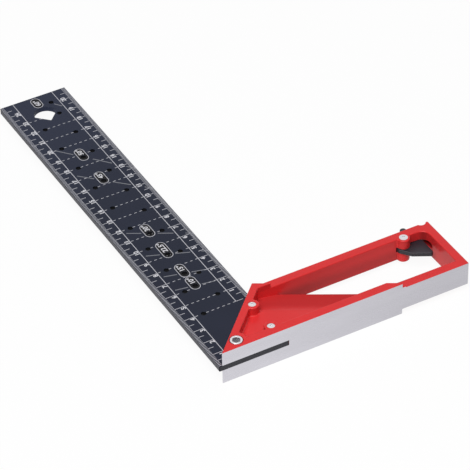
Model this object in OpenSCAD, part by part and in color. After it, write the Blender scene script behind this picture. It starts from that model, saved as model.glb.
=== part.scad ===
// Angle ruler: a try square with a black graduated blade, a red cast stock with a bare
// measuring face, and a small swing-out ledge that steadies the stock on the work.
// In the drawing frame X runs along the stock from the blade's outer edge, Y runs along
// the blade from the stock's measuring face, and Z = 0 is the blade's middle plane.

/* [Blade] */
// Length of the blade, from the measuring face to its far end
blade_l = 250; // [230:5:400]
// Width of the blade
blade_w = 40; // [36:1:46]
// Thickness of the blade
blade_t = 3; // [2:0.1:4]

/* [Marking holes] */
// Diameter of the pencil holes
mark_d = 2.8; // [1.2:0.1:3]
// Distance between two cross lines, each with one pencil hole
mark_pitch = 10; // [10:1:20]
// Distance of the cross lines' pencil holes from the blade's centre line
mark_side = 6.8; // [6:0.1:9]
// Gap from the last cross line to the far end, at least
mark_margin = 20; // [15:1:40]
// Distance of the 10 degree pencil hole from the measuring face
angle_hole_10 = 61.5; // [56:0.5:64]
// Distance of the 15 degree pencil hole from the measuring face
angle_hole_15 = 73; // [68:0.5:76]
// Distance of the 22.5 degree pencil hole from the measuring face
angle_hole_22 = 91; // [86:0.5:94]
// Distance of the 30 degree pencil hole from the measuring face
angle_hole_30 = 111; // [106:0.5:114]
// Distance of the 45 degree pencil hole from the measuring face
angle_hole_45 = 163.5; // [156:0.5:166]
// Distance of the 50 degree pencil hole from the measuring face
angle_hole_50 = 187.5; // [178:0.5:189]
// Distance of the 60 degree pencil hole from the blade's far end
angle_hole_60_end = 8.8; // [5:0.1:9]
// Distance of the 60 degree pencil hole from the blade's centre line
angle_hole_60_side = 7.3; // [6:0.1:9]

/* [Hang hole] */
// Radius of the hang hole's round half
hang_r = 6.6; // [4:0.1:7]
// Distance of the hang hole's centre from the far end
hang_end = 17.1; // [17:0.1:19]

/* [Stock] */
// Distance of the stock's free end from the blade's outer edge
stock_l = 147; // [135:1:180]
// Width of the stock, from the measuring face to the inner face
stock_w = 40; // [38:0.5:46]
// Height of the stock's high part, round the blade
high_h = 20; // [18:0.1:24]
// Height of the stock's low part, round the finger gap
low_h = 14; // [12.6:0.1:16]
// Length of blade that stands out past the stock's pointed end
blade_proud = 1.5; // [1:0.1:2.5]
// Width of the rail behind the measuring face
rail_w = 5.2; // [4.8:0.1:6]
// Width of the grip bar along the inner face
grip_w = 5.2; // [5:0.1:6]
// Width of the wall at the free end
end_w = 4.8; // [4:0.1:5]
// Width of the sloped mitre wall
mitre_w = 4; // [3.5:0.1:5]
// Angle of the line along which the high part steps down
step_angle = 30.4; // [28:0.1:33]
// Where the step line meets the measuring face
step_x = 109; // [104:0.5:112]
// Length of the step that is square to the measuring face
step_square = 1.2; // [0.8:0.1:2]
// Rounding of the finger gap's corner under the ledge
gap_corner_r = 5; // [2:0.1:6]

/* [Web] */
// Thickness of the web's flat floor
web_t = 9.8; // [8:0.1:11]
// Thickness of the web at its free edge
web_edge_t = 2; // [1.4:0.1:3]
// Width of the web's bevel, from its crease to its free edge
web_bevel = 17; // [14:0.5:19]
// How far the web's free edge lies past the step line
web_reach = 1.5; // [1:0.1:3]

/* [Fasteners] */
// Distance of the blade screw from the blade's outer edge
screw_x = 12.8; // [12.4:0.1:14]
// Distance of the blade screw from the measuring face
screw_y = 5.4; // [5.2:0.1:5.8]
// Diameter of the screw's shank
screw_d = 4; // [3:0.1:4.6]
// Diameter of the screw's head
screw_head_d = 6.5; // [6:0.1:7]
// Height of the screw's head
screw_head_h = 2.6; // [2.2:0.1:3]
// Width across the flats of the screw's hexagon socket
screw_socket = 4; // [2.5:0.1:4.2]
// Depth of the screw's hexagon socket
screw_socket_depth = 2; // [1:0.1:2.1]
// Diameter of the raised seat round the screw
screw_seat_d = 12; // [10:0.1:13]
// Distance of the rivets from the blade's inner edge
rivet_inset = 6.8; // [6:0.1:8]
// Distance of the rail rivet from the measuring face
rail_rivet_y = 6.2; // [5.8:0.1:7]
// Distance of the mitre rivet from the mitre wall's outer edge, along the stock
mitre_rivet_set = 6.3; // [5.8:0.1:7]
// Diameter of the rivets
rivet_d = 4.2; // [3:0.1:5]
// Diameter of the bosses round the rivets
rivet_boss_d = 7.4; // [6.6:0.1:8]
// Height of the rivets' and the pin's domed ends
rivet_dome = 0.35; // [0.2:0.05:0.6]
// Diameter of the dimple in each rivet and pin end
rivet_dimple_d = 1.2; // [0.6:0.1:1.6]

/* [Ledge] */
// Distance of the ledge's pivot from the free end
pivot_end = 18; // [17.5:0.1:20]
// Distance of the ledge's pivot from the inner face
pivot_inset = 5.2; // [5:0.1:5.6]
// Thickness of the ledge plate
ledge_t = 2.4; // [1.8:0.1:2.8]
// Diameter of the ledge's hub
hub_d = 7.8; // [7.4:0.1:8]
// Reach of the ledge's tab from the pivot
tab_reach = 14.8; // [13.5:0.1:15]
// Width of the ledge's tab
tab_w = 3.6; // [3:0.1:4.2]
// Direction of the tab at rest, from the stock's length
tab_angle = 58.5; // [54:0.5:62]
// Reach of the finger plate along the stock, from the pivot
plate_x = 11.2; // [10:0.1:11.6]
// Reach of the finger plate across the stock, from the pivot
plate_y = 12.3; // [11:0.1:13]
// Rounding of the finger plate's lower corner
plate_tip_r = 1.4; // [0.8:0.1:2]
// Rounding of the finger plate's upper corner
plate_top_r = 2.4; // [1.6:0.1:3]
// Rounding of the finger plate's heel under the hub
plate_heel_r = 2.4; // [1.8:0.1:2.6]
// How far the heel's centre lies along the stock from the pivot
plate_heel_x = 2.4; // [2:0.1:3.5]
// How far the heel's centre lies below the pivot
plate_heel_y = 5.6; // [4.6:0.1:6]
// How far the finger plate's upper corner reaches above the pivot
plate_rise = 0.5; // [0:0.1:1]
// Diameter of the pivot pin
pin_d = 4.6; // [3.6:0.1:4.8]
// Diameter of the knuckles round the pivot pin
knuckle_d = 7; // [6.8:0.1:7.6]
// Thickness of the two friction washers
washer_t = 0.25; // [0.2:0.05:0.5]
// Radius of the fingernail scoop in the inner face
scoop_r = 2.6; // [2.2:0.1:4]
// Depth of the fingernail scoop
scoop_depth = 1.5; // [1:0.1:2.2]

/* [Fits] */
// Gap round the blade in its slot
blade_fit = 0.05; // [0.02:0.01:0.1]
// Radial gap round the rivets, the screw and the pin in the stock
fixed_fit = 0.02; // [0.01:0.01:0.04]
// Radial running gap between the pin and the ledge
running_fit = 0.05; // [0.03:0.01:0.1]
// Gap between the ledge and each friction washer
washer_fit = 0.05; // [0.03:0.01:0.1]
// Gap round the screw's head in its counterbore
head_fit = 0.4; // [0.2:0.05:0.6]
// Gap round the ledge in its slot, seen from above
ledge_gap = 0.4; // [0.3:0.05:0.6]

/* [Hidden] */
$fn = 64;

cut = 1;                      // overshoot of every cutting tool
red = "#d63c3e";
black = "#2b2d38";
steel = "#cfcdd4";
anodised = "#35384a";
nylon = "#2e2e32";

// Blade: the angle holes lie on the blade's centre line, the last one beside the hang hole
angle_holes = [
    for (y = [angle_hole_10, angle_hole_15, angle_hole_22, angle_hole_30, angle_hole_45, angle_hole_50])
    [blade_w / 2, y]
];
angle_hole_60 = [blade_w / 2 + angle_hole_60_side, blade_l - angle_hole_60_end];
mark_count = floor((blade_l - mark_margin - stock_w) / mark_pitch);
mark_holes = [
    for (i = [0 : mark_count])
    [blade_w / 2 + (i % 2 == 0 ? -mark_side : mark_side), stock_w + i * mark_pitch]
];

// Stock: the step line runs down from the mitre wall's tip to the measuring face
step_run = 1 / tan(step_angle);
step_end_x = step_x - step_square * step_run;
grip_y = stock_w - grip_w;
end_x = stock_l - end_w;
mitre_in = blade_proud + mitre_w * sqrt(2);
rivet_x = blade_w - rivet_inset;
mitre_rivet_y = rivet_x - blade_proud - mitre_rivet_set;
far = stock_l + blade_l;      // longer than anything it cuts

pivot = [stock_l - pivot_end, stock_w - pivot_inset];
ledge_slot_h = ledge_t + 2 * (washer_t + washer_fit);
ledge_slot_r = tab_reach + ledge_gap;
scoop_x = pivot[0] + tab_reach - ledge_gap;

// Moves the drawing frame so that the part stands on Z = 0, centred in its outline
module placed() translate([-stock_l / 2, -blade_l / 2, high_h / 2]) children();

// A straight plate of one thickness, centred on the blade's middle plane
module slab(height) translate([0, 0, -height / 2]) linear_extrude(height) children();

module post(at, d, height) translate([at[0], at[1], -height / 2]) cylinder(d = d, h = height);

// A round bar with a shallow dome and a dimple at both ends
module domed_bar(d, length, dome, dimple) {
    round_r = (d * d / 4 + dome * dome) / (2 * dome);
    rotate_extrude() difference() {
        union() {
            translate([0, -length / 2]) square([d / 2, length]);
            for (end = [0, 1]) mirror([0, end]) intersection() {
                translate([0, length / 2 + dome - round_r]) circle(round_r, $fn = 256);
                translate([0, length / 2]) square([d / 2, dome]);
            }
        }
        for (side = [-1, 1]) translate([0, side * (length / 2 + dome)]) circle(d = dimple);
    }
}

// Half round away from the stock, and a right-angled corner towards it
module hang_hole_2d() {
    translate([blade_w / 2, blade_l - hang_end]) {
        intersection() {
            circle(hang_r);
            translate([-hang_r, 0]) square([2 * hang_r, hang_r]);
        }
        polygon([[-hang_r, 0], [0, -hang_r], [hang_r, 0]]);
    }
}

module blade() {
    color(anodised) placed() difference() {
        translate([0, 0, -blade_t / 2]) cube([blade_w, blade_l, blade_t]);
        slab(blade_t + cut) hang_hole_2d();
        for (at = concat(mark_holes, angle_holes, [angle_hole_60])) post(at, mark_d, blade_t + cut);
        post([screw_x, screw_y], screw_d + 2 * fixed_fit, blade_t + cut);
        for (y = [rail_rivet_y, mitre_rivet_y]) post([rivet_x, y], rivet_d + 2 * fixed_fit, blade_t + cut);
    }
}

// The whole stock seen from above, pointed at the blade's end
module stock_outline() {
    polygon([[blade_proud, 0], [stock_l, 0], [stock_l, stock_w], [stock_w + blade_proud, stock_w]]);
}

// Everything inside the rail, the grip bar, the end wall and the mitre wall
module inside_outline() {
    difference() {
        polygon([
            [rail_w + mitre_in, rail_w], [end_x, rail_w], [end_x, grip_y], [grip_y + mitre_in, grip_y]
        ]);
        translate([end_x - gap_corner_r, grip_y - gap_corner_r]) difference() {
            square(gap_corner_r + cut);
            circle(gap_corner_r);
        }
    }
}

// The part of the plan on the blade's side of the step line, moved out by reach
module step_side(reach) {
    translate([step_x, 0]) rotate(-step_angle) translate([-far, reach - far]) square([2 * far, far]);
}

// Plan of the high part: the step line, with its last stretch square to the measuring face
module high_plan() {
    intersection() {
        step_side(0);
        translate([0, -cut]) square([step_end_x, stock_w + 2 * cut]);
    }
}

module rim_plan() {
    difference() {
        stock_outline();
        inside_outline();
    }
    intersection() {
        stock_outline();
        union() {
            translate([screw_x, screw_y]) circle(d = screw_seat_d);
            for (y = [rail_rivet_y, mitre_rivet_y]) translate([rivet_x, y]) circle(d = rivet_boss_d);
        }
    }
}

// A flat floor that bevels down on both faces to a thin free edge along the finger gap
module web() {
    crease = web_reach - web_bevel;
    intersection() {
        slab(web_t) inside_outline();
        translate([step_x, 0, 0]) rotate([0, 0, -step_angle]) rotate([90, 0, 90])
            translate([0, 0, -far]) linear_extrude(2 * far)
                polygon([
                    [-far, -web_t / 2], [crease, -web_t / 2], [web_reach, -web_edge_t / 2],
                    [web_reach, web_edge_t / 2], [crease, web_t / 2], [-far, web_t / 2]
                ]);
    }
}

// Room for the ledge: its hub, and all that its tab sweeps up to the rest stop
module ledge_slot_plan() {
    translate(pivot) {
        circle(d = hub_d + 2 * ledge_gap);
        intersection() {
            circle(ledge_slot_r);
            rotate(tab_angle) translate([-far, tab_w / 2 + ledge_gap - far]) square([2 * far, far]);
        }
    }
}

module stock_frame() {
    counterbore_d = screw_head_d + 2 * head_fit;
    scoop_y = stock_w - scoop_depth + scoop_r;
    color(red) placed() difference() {
        union() {
            slab(low_h) rim_plan();
            slab(high_h) intersection() {
                rim_plan();
                high_plan();
            }
            web();
            post(pivot, knuckle_d, low_h);
        }
        translate([-cut, -cut, -blade_t / 2 - blade_fit])
            cube([blade_w + cut + blade_fit, stock_w + 2 * cut, blade_t + 2 * blade_fit]);
        slab(ledge_slot_h) ledge_slot_plan();
        post([scoop_x, scoop_y], 2 * scoop_r, low_h + cut);
        post(pivot, pin_d + 2 * fixed_fit, low_h + cut);
        for (y = [rail_rivet_y, mitre_rivet_y]) post([rivet_x, y], rivet_d + 2 * fixed_fit, high_h + cut);
        post([screw_x, screw_y], screw_d + 2 * fixed_fit, high_h + cut);
        translate([screw_x, screw_y, high_h / 2 - screw_head_h]) cylinder(d = counterbore_d, h = screw_head_h + cut);
    }
}

module blade_screw() {
    shank = high_h - screw_head_h;
    color(steel) placed() translate([screw_x, screw_y, -high_h / 2]) difference() {
        union() {
            cylinder(d = screw_d, h = shank);
            translate([0, 0, shank]) cylinder(d = screw_head_d, h = screw_head_h);
        }
        translate([0, 0, high_h - screw_socket_depth])
            cylinder(d = screw_socket / cos(30), h = screw_socket_depth + cut, $fn = 6);
    }
}

module stock_rivet(y) {
    color(steel) placed() translate([rivet_x, y, 0])
        domed_bar(rivet_d, high_h - 2 * rivet_dome, rivet_dome, rivet_dimple_d);
}

module mitre_rivet() stock_rivet(mitre_rivet_y);

module rail_rivet() stock_rivet(rail_rivet_y);

// Hub, tab and finger plate in the blade's plane, so the tab rests where the blade rests
module ledge_plan() {
    rotate(tab_angle) translate([0, -tab_w / 2]) square([tab_reach - tab_w / 2, tab_w]);
    rotate(tab_angle) translate([tab_reach - tab_w / 2, 0]) circle(d = tab_w);
    hull() {
        circle(d = hub_d);
        translate([plate_heel_x, -plate_heel_y]) circle(plate_heel_r, $fn = 32);
        translate([plate_x - plate_tip_r, plate_tip_r - plate_y]) circle(plate_tip_r, $fn = 32);
        translate([plate_x - plate_top_r, plate_rise - plate_top_r]) circle(plate_top_r, $fn = 32);
    }
}

module support_ledge() {
    color(black) placed() translate([pivot[0], pivot[1], 0]) difference() {
        slab(ledge_t) ledge_plan();
        post([0, 0], pin_d + 2 * running_fit, ledge_t + cut);
    }
}

module ledge_pin() {
    color(steel) placed() translate([pivot[0], pivot[1], 0])
        domed_bar(pin_d, low_h, rivet_dome, rivet_dimple_d);
}

module friction_washer(side) {
    color(nylon) placed() translate([pivot[0], pivot[1], side * (ledge_slot_h - washer_t) / 2]) difference() {
        post([0, 0], knuckle_d, washer_t);
        post([0, 0], pin_d + 2 * running_fit, washer_t + cut);
    }
}

module upper_friction_washer() friction_washer(1);

module lower_friction_washer() friction_washer(-1);

blade();
stock_frame();
blade_screw();
mitre_rivet();
rail_rivet();
support_ledge();
ledge_pin();
upper_friction_washer();
lower_friction_washer();
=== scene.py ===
"""Finishes, printed scales and rounded edges of an angle ruler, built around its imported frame."""
import logging
import math
from dataclasses import dataclass
from enum import Enum
from typing import Any, Callable, Iterable, Optional, Sequence, Union

import bmesh
import bpy
from mathutils import Matrix, Quaternion, Vector


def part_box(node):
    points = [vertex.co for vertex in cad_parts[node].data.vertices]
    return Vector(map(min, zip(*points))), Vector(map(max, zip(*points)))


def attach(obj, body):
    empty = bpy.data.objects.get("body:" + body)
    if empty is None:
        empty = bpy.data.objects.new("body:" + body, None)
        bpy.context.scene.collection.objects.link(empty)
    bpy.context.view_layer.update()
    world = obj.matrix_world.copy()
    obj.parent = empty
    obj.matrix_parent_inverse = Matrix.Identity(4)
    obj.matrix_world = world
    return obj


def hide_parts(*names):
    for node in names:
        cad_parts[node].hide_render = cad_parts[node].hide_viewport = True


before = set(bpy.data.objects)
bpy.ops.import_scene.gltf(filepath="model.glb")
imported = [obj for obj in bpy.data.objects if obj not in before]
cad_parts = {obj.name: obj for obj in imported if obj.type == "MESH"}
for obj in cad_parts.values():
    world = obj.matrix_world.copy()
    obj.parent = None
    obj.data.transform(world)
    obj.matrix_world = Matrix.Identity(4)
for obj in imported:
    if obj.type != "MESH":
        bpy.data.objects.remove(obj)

MM = 0.001
LOG = logging.getLogger("angle_ruler")

# How a CAD shape is read, in millimetres and degrees
TOUCH = 0.01
MERGE = 0.002
FLAT_BEND = 0.4
CORNER_BEND = 32.0

Colour = tuple[float, float, float]
Point = tuple[float, float]
Edge = bmesh.types.BMEdge


class Body(Enum):
    """The two bodies that pieces ride on."""

    SQUARE = "square"
    LEDGE = "ledge"


class Slot(Enum):
    """The record's material slots that are passed along with new pieces."""

    BLADE = "blade_black"
    STOCK = "stock_red"
    STEEL = "fastener_steel"
    LEDGE = "ledge_black"


class Axis(Enum):
    """The axes of the part's own frame."""

    X = 0
    Y = 1
    Z = 2


# Node trees


class Value:
    """A node's output that takes part in Python sums."""

    def __init__(self, graph: "Graph", socket: bpy.types.NodeSocket) -> None:
        """Keeps the socket and the graph that it belongs to."""
        self.graph = graph
        self.socket = socket

    def __add__(self, other: "Operand") -> "Value":
        """Adds a number or another value."""
        return self.graph.math("ADD", self, other)

    __radd__ = __add__

    def __sub__(self, other: "Operand") -> "Value":
        """Takes a number or another value away."""
        return self.graph.math("SUBTRACT", self, other)

    def __rsub__(self, other: "Operand") -> "Value":
        """Takes this value away from a number."""
        return self.graph.math("SUBTRACT", other, self)

    def __mul__(self, other: "Operand") -> "Value":
        """Multiplies by a number or another value."""
        return self.graph.math("MULTIPLY", self, other)

    __rmul__ = __mul__

    def __lt__(self, other: "Operand") -> "Value":
        """Is 1 where this value is the smaller one, and 0 elsewhere."""
        return self.graph.math("LESS_THAN", self, other)


Operand = Union[Value, float]


class Graph:
    """A node tree that is written as Python calls."""

    def __init__(self, tree: bpy.types.NodeTree) -> None:
        """Takes an empty tree."""
        self.tree = tree

    def add(
        self,
        kind: str,
        settings: Optional[dict[str, Any]] = None,
        sockets: Optional[dict[Union[str, int], Any]] = None,
    ) -> bpy.types.Node:
        """Adds one node.

        Args:
            kind: The node's type.
            settings: Properties of the node, which are set first.
            sockets: Values or links of its inputs, by name or by number. A list is several links.

        Returns:
            The node.
        """
        made = self.tree.nodes.new(kind)
        for name, setting in (settings or {}).items():
            setattr(made, name, setting)
        for key, entry in (sockets or {}).items():
            entries = entry if isinstance(entry, list) else [entry]
            links = [item for item in entries if isinstance(item, Value)]
            for link in links:
                self.tree.links.new(link.socket, made.inputs[key])
            if not links:
                made.inputs[key].default_value = entry
        return made

    def node(
        self,
        kind: str,
        settings: Optional[dict[str, Any]] = None,
        sockets: Optional[dict[Union[str, int], Any]] = None,
        output: Union[str, int] = 0,
    ) -> Value:
        """Adds one node, as add does, and returns one of its outputs, by name or by number."""
        return Value(self, self.add(kind, settings, sockets).outputs[output])

    def math(self, operation: str, first: Operand, second: Operand = 0.0) -> Value:
        """Adds a Math node on two operands."""
        return self.node("ShaderNodeMath", {"operation": operation}, {0: first, 1: second})

    def seen(self) -> Value:
        """Tells the rays that see a white surround from the light that falls on things.

        Returns:
            1 for rays from the camera, off gloss and through glass, and 0 for all other light.
        """
        names = ("Is Camera Ray", "Is Glossy Ray", "Is Transmission Ray")
        camera, gloss, glass = (self.node("ShaderNodeLightPath", output=name) for name in names)
        return self.math("MINIMUM", camera + gloss + glass, 1.0)


def tint(colour: Colour, share: float) -> Colour:
    """Makes a colour lighter or darker by a share of itself."""
    red, green, blue = (channel * share for channel in colour)
    return red, green, blue


class Shader(Graph):
    """One material, and the nodes that make its finish."""

    def __init__(self, name: str) -> None:
        """Makes an empty material.

        Args:
            name: The material's name.
        """
        self.material = bpy.data.materials.new(name)
        self.material.use_nodes = True
        super().__init__(self.material.node_tree)
        self.tree.nodes.clear()
        self.place = self.node("ShaderNodeTexCoord", output="Object")

    def along(self, axis: Axis) -> Value:
        """Returns the object coordinate along one axis, in metres."""
        return self.node("ShaderNodeSeparateXYZ", None, {0: self.place}, axis.value)

    def grain(self, size: Sequence[float], detail: float = 2.0) -> Value:
        """Adds a noise of a real size.

        Args:
            size: The noise's grain along X, Y and Z, in millimetres.
            detail: The noise's octaves.

        Returns:
            The noise, from 0 to 1 about a half.
        """
        scale = tuple(1 / (width * MM) for width in size)
        spot = self.node("ShaderNodeMapping", None, {"Vector": self.place, "Scale": scale})
        return self.node("ShaderNodeTexNoise", None, {"Vector": spot, "Scale": 1.0, "Detail": detail})

    def ramp(self, value: Value, low: float, high: float) -> Value:
        """Runs smoothly from 0 to 1 as the value goes from low to high."""
        sockets = {"Value": value, "From Min": low, "From Max": high}
        return self.node("ShaderNodeMapRange", {"interpolation_type": "SMOOTHSTEP"}, sockets)

    def mix(self, share: Operand, first: Union[Value, Colour], second: Union[Value, Colour]) -> Value:
        """Blends two colours.

        Args:
            share: How much of the second colour is used.
            first: A colour, or a value that is one.
            second: Another.

        Returns:
            The blended colour.
        """
        ends = [end if isinstance(end, Value) else (*end, 1.0) for end in (first, second)]
        return self.node("ShaderNodeMix", {"data_type": "RGBA"}, {0: share, 6: ends[0], 7: ends[1]}, 2)

    def uneven(self, noise: Value, colour: Colour, low: float, high: float) -> Value:
        """Varies a colour with a noise, from one share of itself to another."""
        return self.mix(noise, tint(colour, low), tint(colour, high))

    def bump(self, height: Value, depth: float) -> Value:
        """Turns a height from 0 to 1 into a normal.

        Args:
            height: The surface's height.
            depth: What a height of 1 stands for, in millimetres.

        Returns:
            The normal.
        """
        return self.node("ShaderNodeBump", None, {"Height": height, "Distance": depth * MM})

    def surface(self, **sockets: Any) -> bpy.types.Material:
        """Ends the material in a Principled shader.

        Args:
            sockets: The shader's inputs, with underscores for spaces.

        Returns:
            The finished material.
        """
        named = {key.replace("_", " "): entry for key, entry in sockets.items()}
        return self.end(self.node("ShaderNodeBsdfPrincipled", None, named))

    def end(self, shader: Value) -> bpy.types.Material:
        """Links a shader to the material's output and returns the material."""
        self.add("ShaderNodeOutputMaterial", None, {"Surface": shader})
        return self.material


# Finishes


@dataclass(frozen=True)
class CastMap:
    """Where the milled face, the painted shade and the painted light lie on the casting, with all lengths
    in millimetres.
    """

    shader: Shader
    low: Vector
    high: Vector
    milled_depth: tuple[float, float] = (0.04, 0.32)
    lip: float = 0.33
    step_end: float = 38.0
    step_drop: float = 3.0
    step_angle: float = 30.4
    slope: tuple[float, float, float] = (-17.5, -9.0, 1.7)
    web: float = 4.95
    grip: float = 5.2
    end: float = 4.8
    mitre: float = 5.66
    margin: float = 0.4
    corner: float = 5.0
    wall: float = 6.5
    wall_strip: float = 0.3
    # How far above and below the middle plane the painted light and shade on the grip bar's inner face
    # changes
    draft_reach: float = 3.0
    slot: float = 2.0
    slot_start: float = 0.15

    def before(self, axis: Axis, limit: float) -> Value:
        """Is 1 where a point lies before a limit along an axis, and 0 past it."""
        return self.shader.along(axis) < limit * MM

    def rise(self) -> Value:
        """Returns the height above the casting's middle plane, in metres."""
        return self.shader.along(Axis.Z) - (self.low.z + self.high.z) / 2 * MM

    def within(self, height: float) -> Value:
        """Is 1 within a height above or below the casting's middle plane, and 0 past it."""
        return self.shader.math("ABSOLUTE", self.rise()) < height * MM

    def above_middle(self) -> Value:
        """Runs from 0 below the casting's middle plane to 1 above it."""
        return self.shader.ramp(self.rise(), -self.draft_reach * MM, self.draft_reach * MM)

    def on_milled(self) -> Value:
        """Marks the measuring face and its edges, apart from the painted upper edge.

        Returns:
            1 there, and 0 elsewhere.
        """
        flat, edged = (self.before(Axis.Y, self.low.y + depth) for depth in self.milled_depth)
        full_height = self.before(Axis.X, self.high.x - self.step_end)
        lip = (self.high.z - self.step_drop - self.lip) * MM + self.step_drop * MM * full_height
        return self.shader.math("MAXIMUM", flat, edged * (self.shader.along(Axis.Z) < lip))

    def on_slope(self) -> Value:
        """Marks the web's slope, inside the walls and along the line of the stock's step.

        Returns:
            From 0 at the slope's crease to 1 further down, and 0 elsewhere.
        """
        turn = math.radians(self.step_angle)
        x, y = self.shader.along(Axis.X), self.shader.along(Axis.Y)
        across = x - (self.high.x - self.step_end) * MM
        along = y - self.low.y * MM
        past = across * math.sin(turn) + along * math.cos(turn)
        start, full, edge = (reach * MM for reach in self.slope)
        deepening = self.shader.ramp(past, start, full) * (past < edge)
        behind_mitre = along - (x - self.low.x * MM) < -(self.mitre + self.margin) * MM
        inside = self.before(Axis.Y, self.high.y - self.grip - self.margin) * behind_mitre
        return deepening * inside * self.within(self.web)

    def on_wall(self) -> Value:
        """Marks the grip bar's inner face, below its top edge.

        Returns:
            1 there, and 0 elsewhere.
        """
        face = self.high.y - self.grip
        strip = self.before(Axis.Y, face + self.wall_strip) - self.before(Axis.Y, face - self.wall_strip)
        return strip * self.within(self.wall)

    def corner_reach(self) -> list[Value]:
        """Measures how far a point lies past the start of the inner round corner.

        Returns:
            The reach along X and along Y, in metres, or 0 before the corner.
        """
        starts = {Axis.X: self.high.x - self.end, Axis.Y: self.high.y - self.grip}
        over = [self.shader.along(axis) - (face - self.corner) * MM for axis, face in starts.items()]
        return [self.shader.math("MAXIMUM", reach, 0.0) for reach in over]

    def behind_faces(self) -> Value:
        """Is 1 behind the end wall's and the grip bar's outer faces, and 0 on them."""
        behind_end = self.before(Axis.X, self.high.x - self.margin)
        return behind_end * self.before(Axis.Y, self.high.y - self.margin)

    def in_corner(self) -> Value:
        """Marks the inner round corner, below its top edge.

        Returns:
            From 0 at the corner's ends to 1 in its middle, and 0 elsewhere.
        """
        depth = self.shader.math("MINIMUM", *self.corner_reach())
        middle = self.corner * math.sqrt(0.5) * MM
        return self.shader.ramp(depth, 0.0, middle) * self.behind_faces() * self.within(self.wall)

    def in_slot(self) -> Value:
        """Marks the inside of the ledge's slot, behind the inner faces and their round corner.

        Returns:
            1 there, and 0 elsewhere.
        """
        over_x, over_y = self.corner_reach()
        reach = self.shader.math("SQRT", over_x * over_x + over_y * over_y)
        outside = reach < (self.corner + self.slot_start) * MM
        return (1.0 - outside) * self.behind_faces() * self.within(self.slot)


@dataclass(frozen=True)
class CastPaint:
    """Satin red paint on a casting, with painted shade in its hollows and painted light and shade on the
    grip bar's inner face, milled away on the measuring face, which has painted light along it.
    """

    paint: Colour = (0.66, 0.030, 0.032)
    metal: Colour = (0.58, 0.57, 0.615)
    gloss: float = 0.29
    milled_gloss: float = 0.30
    peel_rough: float = 0.08
    cutter_rough: float = 0.22
    specular: float = 0.2
    relief: float = 0.005
    cloud: tuple[float, float] = (0.94, 1.06)
    # Shares of the metal's colour by the blade and at the end: painted light along the milled face
    worn: tuple[float, float] = (1.1, 0.9)
    stain: float = 0.08
    # Shares of the paint's colour on the grip bar's inner face: painted shade below the middle plane,
    # painted light above it
    draft: tuple[float, float] = (0.76, 1.1)
    slope_tint: float = 0.77
    slope_dull: float = 0.4
    corner_tint: float = 0.58
    slot_tint: float = 0.3

    def build(self, low: Vector, high: Vector) -> bpy.types.Material:
        """Makes the material.

        Args:
            low: The casting's lowest corner, in millimetres.
            high: Its highest corner.

        Returns:
            The material.
        """
        shader = Shader("red_cast_paint")
        places = CastMap(shader, low, high)
        milled = places.on_milled()
        sloped = places.on_slope()
        cloud = shader.grain((14, 14, 14))
        peel = shader.grain((0.9, 0.9, 0.9), 3.0)
        cutter = shader.grain((30, 1, 0.18), 3.0)
        stain = shader.grain((45, 1, 9))
        # Painted light and shade on the grip bar's inner face: darker below the middle plane, lighter above
        # it
        wall = shader.uneven(places.above_middle(), self.paint, *self.draft)
        red = shader.uneven(cloud, self.paint, *self.cloud)
        # Painted shade: the web's slope is darker than the rest of the paint
        red = shader.mix(sloped, red, tint(self.paint, self.slope_tint))
        red = shader.mix(places.on_wall(), red, wall)
        # Painted shade in the inner round corner
        red = shader.mix(places.in_corner(), red, tint(self.paint, self.corner_tint))
        # Painted shade inside the ledge's slot
        red = shader.mix(places.in_slot(), red, tint(self.paint, self.slot_tint))
        # Painted light on the milled face: lighter towards the blade and darker towards the end, over
        # random stains
        by_blade, by_end = (
            shader.uneven(stain, self.metal, share - self.stain, share + self.stain) for share in self.worn
        )
        fade = shader.ramp(shader.along(Axis.X), low.x * MM, high.x * MM)
        paint_rough = self.gloss + self.peel_rough * (peel - 0.5) + self.slope_dull * sloped
        metal_rough = self.milled_gloss + self.cutter_rough * (cutter - 0.5)
        return shader.surface(
            Base_Color=shader.mix(milled, red, shader.mix(fade, by_blade, by_end)),
            Metallic=milled,
            Roughness=paint_rough + milled * (metal_rough - paint_rough),
            Specular_IOR_Level=self.specular,
            Normal=shader.bump(peel + milled * (cutter - peel), self.relief),
        )


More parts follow.
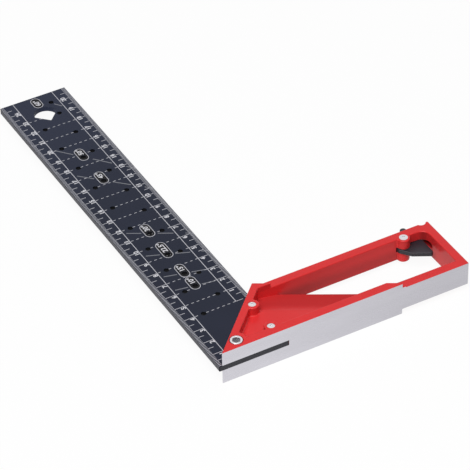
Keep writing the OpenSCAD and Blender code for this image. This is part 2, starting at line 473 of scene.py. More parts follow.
@dataclass(frozen=True)
class Anodised:
    """Black anodised aluminium with the faint lines of its rolling, painted reflection on its sides and
    towards its far end, and painted shade in its bores.
    """

    colour: Colour = (0.0138, 0.0172, 0.0318)
    cloud: tuple[float, float] = (0.85, 1.15)
    far_tint: float = 1.5
    # Painted reflection on the sides and end faces
    side: Colour = (0.085, 0.085, 0.10)
    end_tint: float = 0.55
    # Painted shade on the bores' walls, and painted light on the hang hole's wall as a share of the black
    bore: Colour = (0.002, 0.002, 0.003)
    hang_tint: float = 2.3
    gloss: float = 0.42
    rolled_rough: float = 0.12
    cloud_rough: float = 0.08
    specular: float = 0.12
    rolled_share: float = 0.5
    relief: float = 0.003
    side_depth: float = 0.1
    bore_depth: float = 0.14
    hang_end: float = 17.1
    hang_reach: float = 6.8

    def build(self, low: Vector, high: Vector) -> bpy.types.Material:
        """Makes the material.

        Args:
            low: The blade's lowest corner, in metres.
            high: Its highest corner.

        Returns:
            The material.
        """
        shader = Shader("black_anodised")
        blast = shader.grain((0.22, 0.22, 0.22), 2.0)
        rolled = shader.grain((0.35, 60, 1.0), 3.0)
        cloud = shader.grain((22, 35, 22))
        across, along = shader.along(Axis.X), shader.along(Axis.Y)
        side_gap = shader.math("MINIMUM", across - low.x, high.x - across)
        rim_gap = shader.math("MINIMUM", side_gap, high.y - along)
        over, past = across - (low.x + high.x) / 2, along - (high.y - self.hang_end * MM)
        hung = shader.math("SQRT", over * over + past * past) < self.hang_reach * MM
        far = shader.ramp(along, (low.y + high.y) / 2, high.y)
        black = shader.uneven(cloud, self.colour, *self.cloud)
        # Painted reflection: the blade's black grows lighter towards its far end
        black = shader.mix(far, black, tint(self.colour, self.far_tint))
        # Painted shade on the bores' walls, near black; the hang hole's wall is painted lighter than the
        # blade's black instead, painted light that lifts its shade
        wall = shader.mix(hung, self.bore, tint(self.colour, self.hang_tint))
        top, under = (shader.along(Axis.Z) < edge for edge in self.bore_edges(low, high))
        inner = shader.mix(top - under, black, wall)
        # Painted reflection: the sides and the far end face paler grey, the near end face a darker share of
        # that grey
        sided = shader.mix(rim_gap < self.side_depth * MM, inner, self.side)
        near_end = along < low.y + self.side_depth * MM
        return shader.surface(
            Base_Color=shader.mix(near_end, sided, tint(self.side, self.end_tint)),
            Roughness=self.gloss + self.rolled_rough * (rolled - 0.5) + self.cloud_rough * (cloud - 0.5),
            Specular_IOR_Level=self.specular,
            Normal=shader.bump(blast + self.rolled_share * rolled, self.relief),
        )

    def bore_edges(self, low: Vector, high: Vector) -> tuple[float, float]:
        """Returns the heights between which a bore's wall lies, the upper one first."""
        return high.z - self.bore_depth * MM, low.z + self.bore_depth * MM


@dataclass(frozen=True)
class Ink:
    """Print on the blade, a little uneven where it lies thin."""

    name: str
    colour: Colour
    thin: float = 0.8
    cover: tuple[float, float] = (0.3, 0.6)
    dull: float = 0.55
    sheen: float = 0.1
    specular: float = 0.15

    def build(self) -> bpy.types.Material:
        """Makes the material.

        Returns:
            The material.
        """
        shader = Shader(self.name)
        covered = shader.ramp(shader.grain((0.5, 0.5, 0.5), 3.0), *self.cover)
        return shader.surface(
            Base_Color=shader.uneven(covered, self.colour, self.thin, 1.0),
            Roughness=self.dull - self.sheen * covered,
            Specular_IOR_Level=self.specular,
        )


@dataclass(frozen=True)
class TurnedSteel:
    """Bright plated steel with the rings that turning leaves on its ends, and painted shade in a sunk
    recess in the middle of its top.
    """

    colour: Colour = (0.70, 0.69, 0.71)
    haze: tuple[float, float] = (0.9, 1.08)
    gloss: float = 0.24
    haze_rough: float = 0.2
    ring: float = 0.16
    relief: float = 0.002
    recess: float = 0.55
    recess_depth: float = 0.1
    recess_tint: float = 0.6

    def build(self, node: str) -> bpy.types.Material:
        """Makes the material for one round piece.

        Args:
            node: The CAD node whose axis the rings go round.

        Returns:
            The material.
        """
        low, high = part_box(node)
        centre = (low + high) / 2
        shader = Shader(f"turned_steel_{node}")
        across = shader.along(Axis.X) - centre.x
        along = shader.along(Axis.Y) - centre.y
        radius = shader.math("SQRT", across * across + along * along)
        rings = shader.math("SINE", radius * (math.tau / (self.ring * MM))) * 0.5 + 0.5
        haze = shader.grain((0.8, 0.8, 0.8), 3.0)
        # Painted shade in the sunk recess in the middle of the top, such as a socket
        sunk = (radius < self.recess * MM) * (shader.along(Axis.Z) < high.z - self.recess_depth * MM)
        bright = shader.uneven(haze, self.colour, *self.haze)
        return shader.surface(
            Base_Color=shader.mix(sunk, bright, tint(self.colour, self.recess_tint)),
            Metallic=1.0,
            Roughness=self.gloss + self.haze_rough * (haze - 0.5),
            Normal=shader.bump(rings, self.relief),
        )


@dataclass(frozen=True)
class Moulded:
    """Moulded plastic with a fine spark-eroded grain."""

    name: str
    colour: Colour
    gloss: float = 0.45
    cloud: tuple[float, float] = (0.88, 1.12)
    spark_rough: float = 0.2
    relief: float = 0.012

    def build(self) -> bpy.types.Material:
        """Makes the material.

        Returns:
            The material.
        """
        shader = Shader(self.name)
        spark = shader.grain((0.3, 0.3, 0.3), 3.0)
        cloud = shader.grain((6, 6, 6))
        return shader.surface(
            Base_Color=shader.uneven(cloud, self.colour, *self.cloud),
            Roughness=self.gloss + self.spark_rough * (spark - 0.5),
            Normal=shader.bump(spark, self.relief),
        )


# Meshes


def placed(name: str, data: bpy.types.ID) -> bpy.types.Object:
    """Makes an object and puts it in the scene.

    Args:
        name: The object's name.
        data: Its mesh, text, light or camera.

    Returns:
        The object.
    """
    made = bpy.data.objects.new(name, data)
    bpy.context.scene.collection.objects.link(made)
    return made


def baked(holder: bpy.types.Object) -> bpy.types.Mesh:
    """Turns an object with its modifiers into a plain mesh.

    Args:
        holder: The object. It is removed.

    Returns:
        The mesh.
    """
    graph = bpy.context.evaluated_depsgraph_get()
    mesh = bpy.data.meshes.new_from_object(holder.evaluated_get(graph))
    bpy.data.objects.remove(holder)
    return mesh


def joined(form: bmesh.types.BMesh, mesh: bpy.types.Mesh) -> bmesh.types.BMesh:
    """Adds a plain mesh to a shape.

    Args:
        form: The shape.
        mesh: The mesh. It is removed.

    Returns:
        The shape.
    """
    form.from_mesh(mesh)
    bpy.data.meshes.remove(mesh)
    return form


def shown(name: str, form: bmesh.types.BMesh, material: bpy.types.Material) -> bpy.types.Object:
    """Turns a shape into a shown piece.

    Args:
        name: The piece's name.
        form: Its shape in millimetres, in the part's frame. It is freed.
        material: Its finish.

    Returns:
        The piece, at the origin, with its place in its mesh.
    """
    mesh = bpy.data.meshes.new(name)
    bmesh.ops.scale(form, vec=(MM, MM, MM), verts=form.verts)
    form.to_mesh(mesh)
    form.free()
    mesh.materials.append(material)
    return placed(name, mesh)


def ride(piece: bpy.types.Object, body: Body, slot: Slot, *nodes: str) -> None:
    """Puts a piece on its body.

    Args:
        piece: The piece.
        body: The body that it moves with.
        slot: The record's material slot. It is not used.
        nodes: The CAD nodes that it stands for, which are hidden.
    """
    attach(piece, body.value)
    if nodes:
        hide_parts(*nodes)
    LOG.info("%s rides on %s, %d faces", piece.name, body.value, len(piece.data.polygons))


def lifted(node: str) -> bmesh.types.BMesh:
    """Copies a CAD node.

    Args:
        node: The node's name.

    Returns:
        Its shape in millimetres, with its points merged and its flat faces joined.
    """
    form = bmesh.new()
    form.from_mesh(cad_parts[node].data)
    bmesh.ops.scale(form, vec=(1 / MM, 1 / MM, 1 / MM), verts=form.verts)
    bmesh.ops.remove_doubles(form, verts=form.verts, dist=MERGE)
    bend = math.radians(FLAT_BEND)
    bmesh.ops.dissolve_limit(form, angle_limit=bend, verts=form.verts, edges=form.edges)
    return form


def is_corner(edge: Edge) -> bool:
    """Tells whether two faces meet at an edge at more than a facet's angle."""
    return len(edge.link_faces) == 2 and edge.calc_face_angle() > math.radians(CORNER_BEND)


def rounded(
    form: bmesh.types.BMesh, width_of: Callable[[Edge], float], steps: int = 3
) -> bmesh.types.BMesh:
    """Rounds the edges of a shape, each by its own width.

    Args:
        form: The shape, in millimetres. It is freed.
        width_of: Gives how far the rounding of a sharp edge reaches, or 0 to leave it sharp.
        steps: Faces across each rounding.

    Returns:
        The rounded shape.
    """
    weight = form.edges.layers.float.new("bevel_weight_edge")
    widths = {edge: width_of(edge) for edge in form.edges if is_corner(edge)}
    widest = max(widths.values())
    for edge, width in widths.items():
        edge[weight] = width / widest
    holder = placed("rounding", bpy.data.meshes.new("rounding"))
    form.to_mesh(holder.data)
    form.free()
    bevel = holder.modifiers.new("rounding", "BEVEL")
    bevel.limit_method = "WEIGHT"
    bevel.width = widest
    bevel.segments = steps
    bevel.use_clamp_overlap = False
    return joined(bmesh.new(), baked(holder))


def soften(piece: bpy.types.Object, angle: float = 40.0, crease: float = 1.0, flat: float = 25.0) -> None:
    """Shades a piece smooth across its roundings and flat on its flats.

    Args:
        piece: The piece.
        angle: The angle in degrees past which an edge stays sharp.
        crease: The same between two large faces.
        flat: The area in square millimetres past which a face is large.
    """
    form = bmesh.new()
    form.from_mesh(piece.data)
    for face in form.faces:
        face.smooth = True
    for edge in form.edges:
        bend = math.degrees(edge.calc_face_angle(0.0))
        large = all(face.calc_area() > flat * MM * MM for face in edge.link_faces)
        edge.smooth = bend < (crease if large else angle)
    form.to_mesh(piece.data)
    form.free()
    normals = piece.modifiers.new("flat_faces", "WEIGHTED_NORMAL")
    normals.keep_sharp = True


# Geometry trees


class FormTree(Graph):
    """A Geometry Nodes tree with named inputs, which ends in one plain mesh."""

    def __init__(self, name: str, **inputs: str) -> None:
        """Makes the tree and its inputs.

        Args:
            name: The tree's name.
            inputs: Each input's name and its socket type.
        """
        super().__init__(bpy.data.node_groups.new(name, "GeometryNodeTree"))
        face = self.tree.interface
        face.new_socket("Mesh", in_out="OUTPUT", socket_type="NodeSocketGeometry")
        made = {key: face.new_socket(key, in_out="INPUT", socket_type=kind) for key, kind in inputs.items()}
        self.keys = {key: socket.identifier for key, socket in made.items()}
        source = self.add("NodeGroupInput")
        self.inputs = {key: Value(self, source.outputs[key]) for key in inputs}

    def row(self, start: Union[Value, Sequence[float]], step: Value, count: Value) -> Value:
        """Adds a row of points from start, a step apart."""
        sockets = {"Count": count, "Start Location": start, "Offset": step}
        return self.node("GeometryNodeMeshLine", {"mode": "OFFSET"}, sockets)

    def bars(self, points: Value) -> None:
        """Sets a bar of the inputs' Size on each point and ends the tree in them.

        Args:
            points: The points.
        """
        bar = self.node("GeometryNodeMeshCube", None, {"Size": self.inputs["Size"]})
        spread = self.node("GeometryNodeInstanceOnPoints", None, {"Points": points, "Instance": bar})
        real = self.node("GeometryNodeRealizeInstances", None, {0: spread})
        dressed = self.node("GeometryNodeSetMaterial", None, {0: real, "Material": self.inputs["Ink"]})
        self.add("NodeGroupOutput", None, {0: dressed})

    def mesh(self, **values: Any) -> bpy.types.Mesh:
        """Runs the tree once.

        Args:
            values: The inputs' values, by name.

        Returns:
            A plain mesh, in the unit of the values.
        """
        holder = placed(self.tree.name, bpy.data.meshes.new(self.tree.name))
        run = holder.modifiers.new("form", "NODES")
        run.node_group = self.tree
        for key, value in values.items():
            run[self.keys[key]] = value
        return baked(holder)


def bar_row_tree() -> FormTree:
    """Makes the tree for a row of equal bars, such as the strokes of a scale.

    Returns:
        The tree.
    """
    vector = "NodeSocketVector"
    tree = FormTree(
        "bar_row", Start=vector, Step=vector, Count="NodeSocketInt", Size=vector, Ink="NodeSocketMaterial"
    )
    tree.bars(tree.row(tree.inputs["Start"], tree.inputs["Step"], tree.inputs["Count"]))
    return tree


def dash_field_tree() -> FormTree:
    """Makes the tree for rows of dashes that leave out the ones near the pencil holes.

    Returns:
        The tree.
    """
    vector, number, whole = "NodeSocketVector", "NodeSocketFloat", "NodeSocketInt"
    tree = FormTree(
        "dash_field", Start=vector, Dash_Step=vector, Dashes=whole, Line_Step=vector, Lines=whole,
        Even_Hole=vector, Odd_Hole=vector, Hole_Step=vector, Clear=number, Size=vector,
        Ink="NodeSocketMaterial",
    )
    wanted = tree.inputs
    dashes = tree.row(wanted["Start"], wanted["Dash_Step"], wanted["Dashes"])
    lines = tree.row((0, 0, 0), wanted["Line_Step"], wanted["Lines"])
    spread = tree.node("GeometryNodeInstanceOnPoints", None, {"Points": lines, "Instance": dashes})
    field = tree.node("GeometryNodeRealizeInstances", None, {0: spread})
    firsts = (wanted["Even_Hole"], wanted["Odd_Hole"])
    rows = [tree.row(first, wanted["Hole_Step"], wanted["Lines"]) for first in firsts]
    holes = tree.node("GeometryNodeJoinGeometry", None, {0: rows})
    near = tree.node("GeometryNodeProximity", {"target_element": "POINTS"}, {0: holes}, "Distance")
    taken = tree.node("FunctionNodeCompare", {"operation": "LESS_THAN"}, {0: near, 1: wanted["Clear"]})
    kept = tree.node("GeometryNodeDeleteGeometry", None, {0: field, "Selection": taken})
    tree.bars(kept)
    return tree


# The blade's print, in millimetres from the blade's near outer corner


@dataclass(frozen=True)
class Scale:
    """One centimetre scale along a long edge of the blade."""

    edge: float
    inward: int
    zero: float
    last: int
    rule: float
    fine: float
    half: float
    number: float


@dataclass(frozen=True)
class AngleMark:
    """One angle: its label, the pencil hole that its line crosses, if any, and its tag's ends."""

    label: str
    degrees: float
    hole: Optional[float]
    low: float
    high: float


@dataclass
class BladePrint:
    """Everything that is printed on the blade's upper face."""

    low: Vector
    high: Vector
    white: bpy.types.Material
    pale: bpy.types.Material
    grey: bpy.types.Material
    dark: bpy.types.Material
    thick: float = 0.02
    edge_gap: float = 0.3
    stroke: float = 0.34
    stroke_inset: float = 0.2
    last_gap: float = 0.5
    rule_stroke: float = 0.4
    mitre_gap: float = 1.2
    zero_reach: float = 4.2
    bold: float = 0.03
    digit: float = 2.7
    digit_shift: float = 1.3
    tag_digit: float = 3.1
    tag_width: float = 5.6
    tag_line: float = 0.38
    hole: float = 2.8
    hole_side: float = 6.8
    first_line: float = 40.0
    last_line: float = 220.0
    line_pitch: float = 10.0
    dash: Point = (1.46, 0.36)
    dash_pitch: float = 3.12
    dash_first: float = 9.1
    dash_clear: float = 0.65
    dashes: int = 8
    short_dashes: int = 3
    angle_stroke: float = 0.62
    far_stroke: tuple[Point, Point] = ((28.1, 238.9), (31.0, 235.0))
    hole_gap: float = 0.1
    line_layers: float = 0.8
    rim_layers: float = 1.1
    label_layers: float = 2.0

    def __post_init__(self) -> None:
        """Works out the blade's size and the height of the print."""
        size = (self.high - self.low) / MM
        self.width, self.length = size.x, size.y
        self.level = self.high.z / MM + self.thick / 2
        self.shift = Vector((self.low.x / MM, self.low.y / MM, 0))
        self.scales = (
            Scale(0.0, 1, 0.0, 24, 7.8, 2.0, 4.9, 6.25),
            Scale(self.width, -1, self.first_line, 20, 31.9, 2.4, 5.1, 34.3),
        )
        self.angles = (
            AngleMark("10", 10.0, 61.5, 58.4, 69.5),
            AngleMark("15", 15.0, 73.0, 69.7, 81.1),
            AngleMark("22.5", 22.5, 91.0, 87.9, 101.9),
            AngleMark("30", 30.0, 111.0, 107.9, 119.3),
            AngleMark("45", 45.0, 163.5, 160.6, 171.8),
            AngleMark("50", 50.0, 187.5, 184.1, 195.4),
            AngleMark("60", 60.0, None, 239.6, 248.9),
        )

    def at(self, x: float, y: float, layers: float = 1.0) -> Vector:
        """Places the middle of some layers of ink in the part's frame, in millimetres."""
        return self.shift + Vector((x, y, self.level + self.thick * (layers - 1) / 2))

    def show(self, name: str, form: bmesh.types.BMesh, ink: bpy.types.Material) -> None:
        """Shows one group of marks and puts it on the square."""
        ride(shown(name, form, ink), Body.SQUARE, Slot.BLADE)

    def build(self) -> None:
        """Prints the whole face."""
        self.show("scale_strokes", self.scale_strokes(), self.pale)
        self.show("scale_rules", self.scale_rules(), self.pale)
        self.show("scale_numbers", self.scale_numbers(), self.white)
        self.show("cross_dashes", self.cross_dashes(), self.pale)
        self.show("angle_lines", self.angle_lines(), self.grey)
        self.show("angle_tags", self.tag_fields(), self.dark)
        self.show("angle_tag_rims", self.tag_rims(), self.pale)
        self.show("angle_tag_labels", self.tag_labels(), self.white)

    def bar(
        self, form: bmesh.types.BMesh, start: Point, end: Point, width: float, layers: float = 1.0
    ) -> None:
        """Adds a straight stroke to a shape.

        Args:
            form: The shape.
            start: Where the stroke starts on the blade.
            end: Where it ends.
            width: Its width.
            layers: How many layers of ink high it stands.
        """
        run = Vector(end) - Vector(start)
        middle = self.at(*((Vector(start) + Vector(end)) / 2), layers)
        turn = Matrix.Rotation(math.atan2(run.y, run.x), 4, "Z")
        size = Matrix.Diagonal((run.length, width, self.thick * layers, 1.0))
        bmesh.ops.create_cube(form, size=1.0, matrix=Matrix.Translation(middle) @ turn @ size)

    def scale_strokes(self) -> bmesh.types.BMesh:
        """Makes the millimetre, half centimetre and centimetre strokes of both scales.

        Returns:
            The shape.
        """
        tree = bar_row_tree()
        form = bmesh.new()
        for scale in self.scales:
            span = self.length - scale.zero
            rule = abs(scale.rule - scale.edge) - self.rule_stroke / 2
            # The first stroke, pitch, inset and reach of each kind
            kinds = (
                (1.0, 1.0, self.stroke_inset, scale.fine),
                (5.0, 10.0, scale.fine, scale.half),
                (10.0, 10.0, scale.fine, rule),
            )
            for first, pitch, inset, reach in kinds:
                middle = scale.edge + scale.inward * (reach + inset) / 2
                made = tree.mesh(
                    Start=self.at(middle, scale.zero + first),
                    Step=(0.0, pitch, 0.0),
                    Count=int((span - first - self.last_gap) // pitch) + 1,
                    Size=(reach - inset, self.stroke, self.thick),
                    Ink=self.pale,
                )
                joined(form, made)
        return form

    def scale_rules(self) -> bmesh.types.BMesh:
        """Makes the long lines beside the numbers, and the zero line of the inner scale.

        Returns:
            The shape.
        """
        form = bmesh.new()
        outer, inner = self.scales
        end = self.length - self.edge_gap
        self.bar(form, (outer.rule, outer.rule - self.mitre_gap), (outer.rule, end), self.rule_stroke)
        self.bar(form, (inner.rule, inner.zero), (inner.rule, end), self.rule_stroke)
        start = inner.rule + self.rule_stroke / 2
        self.bar(form, (start, inner.zero), (inner.rule + self.zero_reach, inner.zero), self.stroke)
        return form

    def lettering(self, text: str, height: float, middle: Point) -> bmesh.types.BMesh:
        """Makes a label that reads along the blade, away from the stock.

        Args:
            text: The digits.
            height: The digits' height.
            middle: The label's middle on the blade.

        Returns:
            The label's shape.
        """
        curve = bpy.data.curves.new("label", "FONT")
        curve.body = text
        curve.offset = self.bold
        # Half of a height of 1, which becomes the layers' height below
        curve.extrude = 0.5
        curve.resolution_u = 3
        form = joined(bmesh.new(), baked(placed("label", curve)))
        bmesh.ops.remove_doubles(form, verts=form.verts, dist=1e-5)
        lows = [min(vert.co[axis] for vert in form.verts) for axis in (0, 1)]
        highs = [max(vert.co[axis] for vert in form.verts) for axis in (0, 1)]
        centre = Vector(((lows[0] + highs[0]) / 2, (lows[1] + highs[1]) / 2, 0))
        share = height / (highs[1] - lows[1])
        size = Matrix.Diagonal((share, share, self.thick * self.label_layers, 1.0))
        turn = Matrix.Rotation(math.pi / 2, 4, "Z")
        spot = self.at(*middle, self.label_layers)
        form.transform(Matrix.Translation(spot) @ turn @ size @ Matrix.Translation(-centre))
        return form

    @staticmethod
    def gather(forms: Iterable[bmesh.types.BMesh]) -> bmesh.types.BMesh:
        """Joins several shapes into one.

        Args:
            forms: The shapes. They are freed.

        Returns:
            The one shape.
        """
        whole = bmesh.new()
        for form in forms:
            made = bpy.data.meshes.new("part")
            form.to_mesh(made)
            form.free()
            joined(whole, made)
        return whole

    def scale_numbers(self) -> bmesh.types.BMesh:
        """Makes the centimetre numbers of both scales.

        Returns:
            The shape.
        """
        labels = []
        for scale in self.scales:
            for number in range(1, scale.last + 1):
                before = self.digit_shift if number < 10 else 0.0
                spot = (scale.number, scale.zero + 10.0 * number - before)
                labels.append(self.lettering(str(number), self.digit, spot))
        return self.gather(labels)

    def cross_dashes(self) -> bmesh.types.BMesh:
        """Makes the dashed cross lines, and the short one beside the hang hole.

        Returns:
            The shape.
        """
        lines = round((self.last_line - self.first_line) / self.line_pitch) + 1
        middle = self.width / 2
        values = {
            "Dash_Step": (self.dash_pitch, 0.0, 0.0),
            "Line_Step": (0.0, self.line_pitch, 0.0),
            "Even_Hole": self.at(middle - self.hole_side, self.first_line),
            "Odd_Hole": self.at(middle + self.hole_side, self.first_line + self.line_pitch),
            "Hole_Step": (0.0, 2 * self.line_pitch, 0.0),
            "Clear": self.hole / 2 + self.dash_clear,
            "Size": (*self.dash, self.thick),
            "Ink": self.pale,
        }
        tree = dash_field_tree()
        form = bmesh.new()
        short_line = self.last_line + self.line_pitch
        rows = ((self.first_line, self.dashes, lines), (short_line, self.short_dashes, 1))
        for first, dashes, count in rows:
            start = self.at(self.dash_first, first)
            joined(form, tree.mesh(Start=start, Dashes=dashes, Lines=count, **values))
        return form

    def angle_lines(self) -> bmesh.types.BMesh:
        """Makes each angle's line: two stretches beside its tag and a stroke at either edge.

        Returns:
            The shape.
        """
        form = bmesh.new()
        middle = self.width / 2
        far_edge = self.width - self.edge_gap
        stretches = ((self.edge_gap, 2.2), (9.4, 16.2), (23.6, 30.8), (36.2, far_edge))
        lines = []
        for mark in self.angles:
            if mark.hole is not None:
                fall = math.tan(math.radians(mark.degrees))
                lines += [[(x, mark.hole - (x - middle) * fall) for x in ends] for ends in stretches]
        for start, end in (*lines, self.far_stroke):
            self.bar(form, start, end, self.angle_stroke, self.line_layers)
        return form

    def tag_outline(self, low: float, high: float, inset: float) -> list[Vector]:
        """Makes the outline of a tag with round ends.

        Args:
            low: The tag's end towards the stock.
            high: Its far end.
            inset: How far inside the tag the outline lies.

        Returns:
            The outline's points in order.
        """
        middle = self.width / 2
        radius = self.tag_width / 2
        reach = radius - inset
        steps = 14
        points = []
        for centre, start in ((high - radius, 0.0), (low + radius, math.pi)):
            for step in range(steps + 1):
                angle = start + math.pi * step / steps
                points.append(self.at(middle + reach * math.cos(angle), centre + reach * math.sin(angle)))
        return points

    def sheet(
        self, form: bmesh.types.BMesh, outer: Sequence[Vector], inner: Sequence[Vector], rise: float
    ) -> None:
        """Adds a thin plate to a shape.

        Args:
            form: The shape.
            outer: The plate's outline.
            inner: The outline of the hole in it, or nothing.
            rise: The plate's thickness, in layers of ink.
        """
        edges = []
        for outline in filter(None, (outer, inner)):
            verts = [form.verts.new(point) for point in outline]
            edges += [form.edges.new((verts[i - 1], verts[i])) for i in range(len(verts))]
        filled = bmesh.ops.triangle_fill(form, use_beauty=True, use_dissolve=False, edges=edges)["geom"]
        faces = [item for item in filled if isinstance(item, bmesh.types.BMFace)]
        raised = bmesh.ops.extrude_face_region(form, geom=faces)["geom"]
        tops = [item for item in raised if isinstance(item, bmesh.types.BMVert)]
        bmesh.ops.translate(form, verts=tops, vec=(0, 0, self.thick * rise))

    def tag_fields(self) -> bmesh.types.BMesh:
        """Makes the dark fields inside the tags, open at the pencil holes.

        Returns:
            The shape.
        """
        form = bmesh.new()
        middle = self.width / 2
        reach = self.hole / 2 + self.hole_gap
        steps = 20
        turns = [math.tau * step / steps for step in range(steps)]
        for mark in self.angles:
            ring = []
            if mark.hole is not None:
                spots = ((reach * math.cos(turn), reach * math.sin(turn)) for turn in turns)
                ring = [self.at(middle + x, mark.hole + y) for x, y in spots]
            outline = self.tag_outline(mark.low, mark.high, self.tag_line / 2)
            self.sheet(form, outline, ring, self.line_layers)
        bmesh.ops.recalc_face_normals(form, faces=form.faces)
        return form

    def tag_rims(self) -> bmesh.types.BMesh:
        """Makes the pale lines round the tags.

        Returns:
            The shape.
        """
        form = bmesh.new()
        for mark in self.angles:
            outer, inner = (self.tag_outline(mark.low, mark.high, inset) for inset in (0.0, self.tag_line))
            self.sheet(form, outer, inner, self.rim_layers)
        bmesh.ops.recalc_face_normals(form, faces=form.faces)
        return form

    def tag_labels(self) -> bmesh.types.BMesh:
        """Makes the degree labels inside the tags, between the pencil hole and the far end.

        Returns:
            The shape.
        """
        labels = []
        for mark in self.angles:
            near = mark.low if mark.hole is None else mark.hole + self.hole / 2
            spot = (self.width / 2, (near + mark.high) / 2)
            labels.append(self.lettering(mark.label + "°", self.tag_digit, spot))
        return self.gather(labels)


# The pieces


@dataclass
class Blade:
    """The graduated blade."""

    rim: float = 0.16
    corner: float = 0.7

    def build(self) -> None:
        """Breaks the blade's edges, anodises it and prints its scales."""
        self.low, self.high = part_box("blade")
        form = rounded(lifted("blade"), self.edge_width)
        piece = shown("graduated_blade", form, Anodised().build(self.low, self.high))
        soften(piece)
        ride(piece, Body.SQUARE, Slot.BLADE, "blade")
        white = Ink("white_print", (0.68, 0.68, 0.72)).build()
        pale = Ink("pale_print", (0.52, 0.52, 0.56)).build()
        grey = Ink("grey_print", (0.20, 0.205, 0.23)).build()
        dark = Ink("dark_tag", (0.004, 0.004, 0.006)).build()
        BladePrint(self.low, self.high, white, pale, grey, dark).build()

    def edge_width(self, edge: Edge) -> float:
        """Gives the rounding that an edge of the blade has, wide at its upright outer corners.

        Args:
            edge: A sharp edge.

        Returns:
            The rounding's width.
        """
        first, second = (vert.co for vert in edge.verts)
        upright = (first - second).xy.length < TOUCH
        at_side = min(abs(first.x - self.low.x / MM), abs(first.x - self.high.x / MM)) < TOUCH
        at_end = min(abs(first.y - self.low.y / MM), abs(first.y - self.high.y / MM)) < TOUCH
        return self.corner if upright and at_side and at_end else self.rim


@dataclass
class Stock:
    """The red casting that holds the blade."""

    rim: float = 0.6
    fillet: float = 0.7
    scoop: float = 0.4
    scoop_box: Point = (6.2, 2.2)
    end_corner: float = 0.6
    milled: float = 0.3
    hole: float = 0.14
    hole_reach: float = 0.6
    slot: float = 0.2
    slot_reach: float = 1.7
    tip_box: Point = (45.0, 1.0)
    tip_gap: float = 1.0

    def build(self) -> None:
        """Rounds the casting's edges and paints it."""
        self.low, self.high = (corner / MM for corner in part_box("stock_frame"))
        self.middle = (self.low.z + self.high.z) / 2
        names = ("blade_screw", "mitre_rivet", "rail_rivet", "ledge_pin")
        self.axes = [self.axis_of(node) for node in names]
        form = lifted("stock_frame")
        self.close_tip(form)
        form = rounded(form, self.edge_width)
        piece = shown("cast_stock", form, CastPaint().build(self.low, self.high))
        soften(piece)
        ride(piece, Body.SQUARE, Slot.STOCK, "stock_frame")

    def close_tip(self, form: bmesh.types.BMesh) -> None:
        """Draws the step's corner into the mitre wall's tip, less than a millimetre away.

        Args:
            form: The casting's shape, in millimetres.
        """
        last_x, first_y = self.low.x + self.tip_box[0], self.high.y - self.tip_box[1]
        targets = {}
        for edge in form.edges:
            near = all(vert.co.y > first_y and vert.co.x < last_x for vert in edge.verts)
            if near and edge.calc_length() < self.tip_gap:
                corner, tip = sorted(edge.verts, key=lambda vert: vert.co.y)
                targets[corner] = tip
        bmesh.ops.weld_verts(form, targetmap=targets)

    def axis_of(self, node: str) -> tuple[Vector, float]:
        """Gives the axis of an upright round node, and the reach of the hole about it."""
        low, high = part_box(node)
        return (low + high).xy / 2 / MM, (high.x - low.x) / 2 / MM + self.hole_reach

    def edge_width(self, edge: Edge) -> float:
        """Gives the rounding that an edge of the casting has.

        Args:
            edge: A sharp edge.

        Returns:
            The rounding's width.
        """
        spots = [vert.co for vert in edge.verts]
        upright = (spots[0] - spots[1]).xy.length < TOUCH
        at_end = any(abs(spot.x - self.high.x) < TOUCH for spot in spots)
        if any(all((spot.xy - axis).length < reach for spot in spots) for axis, reach in self.axes):
            return self.hole
        if all(abs(spot.z - self.middle) < self.slot_reach for spot in spots):
            return self.slot if edge.is_convex else 0.0
        if all(spot.y < self.low.y + TOUCH for spot in spots):
            return self.end_corner if upright and at_end else self.milled
        if not edge.is_convex:
            return self.fillet
        first_x, first_y = self.high.x - self.scoop_box[0], self.high.y - self.scoop_box[1]
        at_scoop = all(spot.x > first_x and spot.y > first_y for spot in spots)
        return self.scoop if at_scoop and not at_end else self.rim


@dataclass
class Fasteners:
    """The blade's screw and rivets, the ledge's pin and its washers."""

    head_rim: float = 0.18

    def build(self) -> None:
        """Dresses the round pieces and breaks the screw's edges."""
        for node in ("mitre_rivet", "rail_rivet", "ledge_pin"):
            self.dress(node, TurnedSteel().build(node))
        nylon = Moulded("black_nylon", (0.03, 0.03, 0.033), 0.5).build()
        for node in ("upper_friction_washer", "lower_friction_washer"):
            self.dress(node, nylon)
        form = rounded(lifted("blade_screw"), lambda edge: self.head_rim if edge.is_convex else 0.0)
        # Painted shade in the screw's socket
        finish = TurnedSteel(gloss=0.3, recess=2.4, recess_tint=0.5)
        piece = shown("socket_screw", form, finish.build("blade_screw"))
        soften(piece)
        ride(piece, Body.SQUARE, Slot.STEEL, "blade_screw")

    @staticmethod
    def dress(node: str, material: bpy.types.Material) -> None:
        """Gives a CAD node that keeps its shape a new finish.

        Args:
            node: The node's name.
            material: The finish.
        """
        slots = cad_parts[node].data.materials
        slots.clear()
        slots.append(material)
        LOG.info("%s keeps its CAD shape", node)


@dataclass
class Ledge:
    """The swing-out ledge."""

    rim: float = 0.3

    def build(self) -> None:
        """Rounds the ledge's edges and gives it its moulded finish."""
        form = rounded(lifted("support_ledge"), lambda edge: self.rim)
        piece = shown("moulded_ledge", form, Moulded("moulded_black", (0.012, 0.012, 0.018)).build())
        soften(piece)
        ride(piece, Body.LEDGE, Slot.LEDGE, "support_ledge")


# The studio


@dataclass(frozen=True)
class SoftBox:
    """One large soft lamp, aimed at the object."""

    name: str
    place: tuple[float, float, float]
    size: float
    power: float


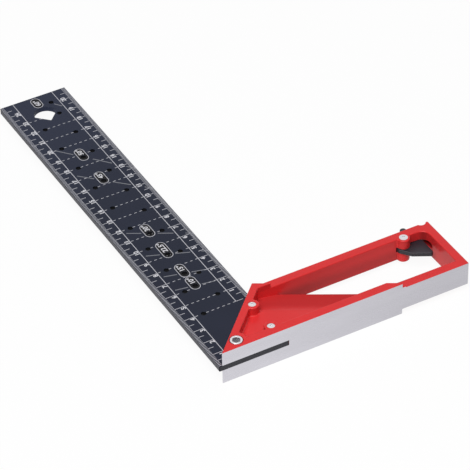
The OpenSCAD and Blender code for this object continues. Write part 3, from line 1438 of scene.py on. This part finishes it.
@dataclass
class Studio:
    """The camera, the pale floor and the soft light."""

    camera: tuple[float, float, float] = (-0.5870, -1.0879, 0.9799)
    aim: tuple[float, float, float] = (-0.0099, -0.0274, 0.0017)
    roll: float = -1.2986
    focal: float = 225.0
    sensor: float = 36.0
    floor: float = 8.0
    floor_gap: float = 0.05
    floor_grey: float = 0.85
    floor_white: float = 0.94
    ambient: float = 0.13
    lamps: tuple[SoftBox, ...] = (
        SoftBox("key", (-0.57, -0.61, 1.60), 1.2, 34.0),
    )

    def build(self) -> None:
        """Sets up the whole studio."""
        bpy.context.scene.view_settings.view_transform = "Standard"
        self.set_camera()
        self.set_floor()
        self.set_world()
        for lamp in self.lamps:
            self.set_lamp(lamp)

    def set_camera(self) -> None:
        """Puts the camera where the object was looked at from."""
        lens = bpy.data.cameras.new("camera")
        lens.lens = self.focal
        lens.sensor_width = self.sensor
        camera = placed("camera", lens)
        camera.location = self.camera
        camera.rotation_mode = "QUATERNION"
        sight = (Vector(self.aim) - Vector(self.camera)).to_track_quat("-Z", "Y")
        camera.rotation_quaternion = sight @ Quaternion((0, 0, 1), math.radians(self.roll))
        bpy.context.scene.camera = camera

    def set_floor(self) -> None:
        """Lays the white floor, which shows a faint shadow and is clear from below."""
        shader = Shader("white_floor")
        grey = (self.floor_grey, self.floor_grey, self.floor_grey, 1.0)
        matt = shader.node("ShaderNodeBsdfDiffuse", None, {"Color": grey})
        white = shader.node("ShaderNodeEmission", None, {"Strength": 1.0})
        clear = shader.node("ShaderNodeBsdfTransparent")
        share = shader.seen() * self.floor_white
        top = shader.node("ShaderNodeMixShader", None, {0: share, 1: matt, 2: white})
        under = shader.node("ShaderNodeNewGeometry", output="Backfacing")
        material = shader.end(shader.node("ShaderNodeMixShader", None, {0: under, 1: top, 2: clear}))
        form = bmesh.new()
        bmesh.ops.create_grid(form, x_segments=1, y_segments=1, size=self.floor / MM)
        bmesh.ops.translate(form, verts=form.verts, vec=(0, 0, -self.floor_gap))
        shown("floor", form, material)

    def set_world(self) -> None:
        """Surrounds the object with white that the camera and gloss see, and a softer ambient light."""
        world = bpy.data.worlds.new("studio")
        world.use_nodes = True
        bpy.context.scene.world = world
        graph = Graph(world.node_tree)
        graph.tree.nodes.clear()
        white = (1.0, 1.0, 1.0, 1.0)
        soft = graph.node("ShaderNodeBackground", None, {"Color": white, "Strength": self.ambient})
        backdrop = graph.node("ShaderNodeBackground", None, {"Color": white, "Strength": 1.0})
        mixed = graph.node("ShaderNodeMixShader", None, {0: graph.seen(), 1: soft, 2: backdrop})
        graph.add("ShaderNodeOutputWorld", None, {"Surface": mixed})

    @staticmethod
    def set_lamp(lamp: SoftBox) -> None:
        """Hangs one soft box and aims it at the origin.

        Args:
            lamp: The soft box.
        """
        light = bpy.data.lights.new(lamp.name, "AREA")
        light.size = lamp.size
        light.energy = lamp.power
        holder = placed(lamp.name, light)
        holder.location = lamp.place
        holder.rotation_euler = (-Vector(lamp.place)).to_track_quat("-Z", "Y").to_euler()


def main() -> None:
    """Builds the studio and every piece."""
    logging.basicConfig(level=logging.INFO, format="%(name)s: %(message)s")
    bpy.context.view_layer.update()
    for part in (Studio(), Stock(), Blade(), Fasteners(), Ledge()):
        part.build()


if __name__ == "__main__":
    main()
